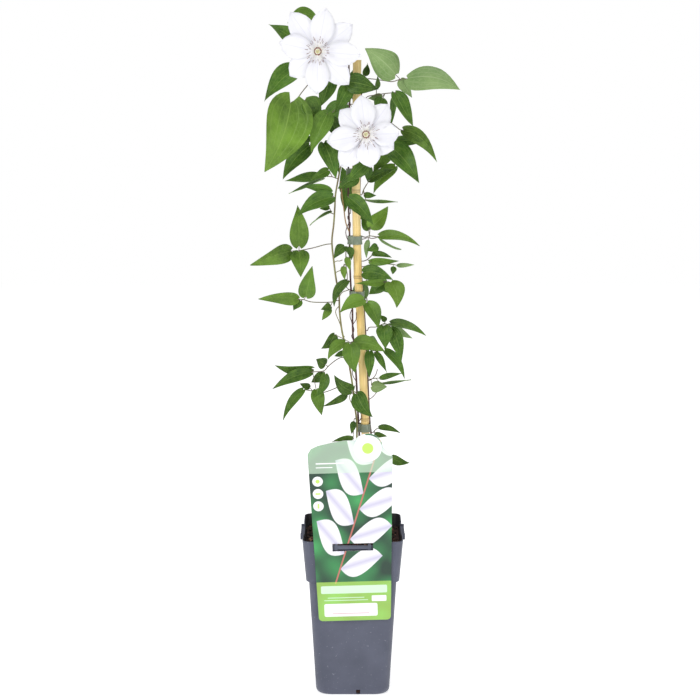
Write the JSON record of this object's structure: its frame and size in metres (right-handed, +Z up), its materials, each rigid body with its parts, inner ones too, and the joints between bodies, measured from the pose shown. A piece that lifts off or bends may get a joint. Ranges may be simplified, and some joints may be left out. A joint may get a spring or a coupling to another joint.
{
  "type": "potted clematis",
  "caption": "White-flowered clematis climbing a bamboo cane in a tall square grey nursery pot, with a label hung on the rim.",
  "frame": {"origin": "centre of the pot's underside, where it stands", "axes": "+Z up along the cane, -Y towards the front, where the label hangs, +X to the right as seen from the front"},
  "size_m": [0.2201, 0.1233, 0.7493],
  "materials": {
    "pot_plastic": "satin grey moulded plastic",
    "bark_soil": "rough dark bark compost",
    "label_plastic": "smooth printed sheet",
    "bamboo": "smooth tan bamboo with darker node rings",
    "tie_band": "translucent grey-green film",
    "green_stem": "pale green-tan young stem",
    "brown_stem": "purple-brown woody stem",
    "leaf_green": "satin green leaf with pale veins",
    "tepal_white": "matte white with faint lavender ribs",
    "stamen_cream": "cream filaments with grey-purple anthers",
    "style_yellow": "cream-yellow tuft"
  },
  "bodies": {
    "root": {"bloom_lower_stalk": "green_stem", "bloom_lower_stamens": "stamen_cream", "bloom_lower_styles": "style_yellow", "bloom_lower_tepals": "tepal_white", "bloom_upper_stalk": "green_stem", "bloom_upper_stamens": "stamen_cream", "bloom_upper_styles": "style_yellow", "bloom_upper_tepals": "tepal_white", "cane": "bamboo", "label": "label_plastic", "leaf_back_high": "leaf_green", "leaf_back_low": "leaf_green", "leaf_back_lower": "leaf_green", "leaf_back_middle": "leaf_green", "leaf_behind_label": "leaf_green", "leaf_cane_pair": "leaf_green", "leaf_centre_three": "leaf_green", "leaf_foot_left": "leaf_green", "leaf_foot_right": "leaf_green", "leaf_heart": "leaf_green", "leaf_inner": "leaf_green", "leaf_left_blade": "leaf_green", "leaf_left_bloom": "leaf_green", "leaf_left_grey": "leaf_green", "leaf_left_low": "leaf_green", "leaf_left_pair": "leaf_green", "leaf_left_shade": "leaf_green", "leaf_left_three": "leaf_green", "leaf_left_twin": "leaf_green", "leaf_low_dark": "leaf_green", "leaf_lower_left": "leaf_green", "leaf_lower_right": "leaf_green", "leaf_lower_slips": "leaf_green", "leaf_lower_tongue": "leaf_green", "leaf_olive": "leaf_green", "leaf_over_cane": "leaf_green", "leaf_over_cane_top": "leaf_green", "leaf_right_bloom": "leaf_green", "leaf_right_broad": "leaf_green", "leaf_right_fan": "leaf_green", "leaf_right_far": "leaf_green", "leaf_right_hearts": "leaf_green", "leaf_right_high": "leaf_green", "leaf_right_light": "leaf_green", "leaf_right_low": "leaf_green", "leaf_right_middle": "leaf_green", "leaf_right_small": "leaf_green", "leaf_top": "leaf_green", "leaf_under_bloom": "leaf_green", "leaf_upper_right": "leaf_green", "pot": "pot_plastic", "soil": "bark_soil", "stem_back": "brown_stem", "stem_branch": "brown_stem", "stem_left": "green_stem", "stem_twining": "brown_stem", "tie_1": "tie_band", "tie_2": "tie_band", "tie_3": "tie_band", "tie_4": "tie_band"}
  },
  "joints": []
}
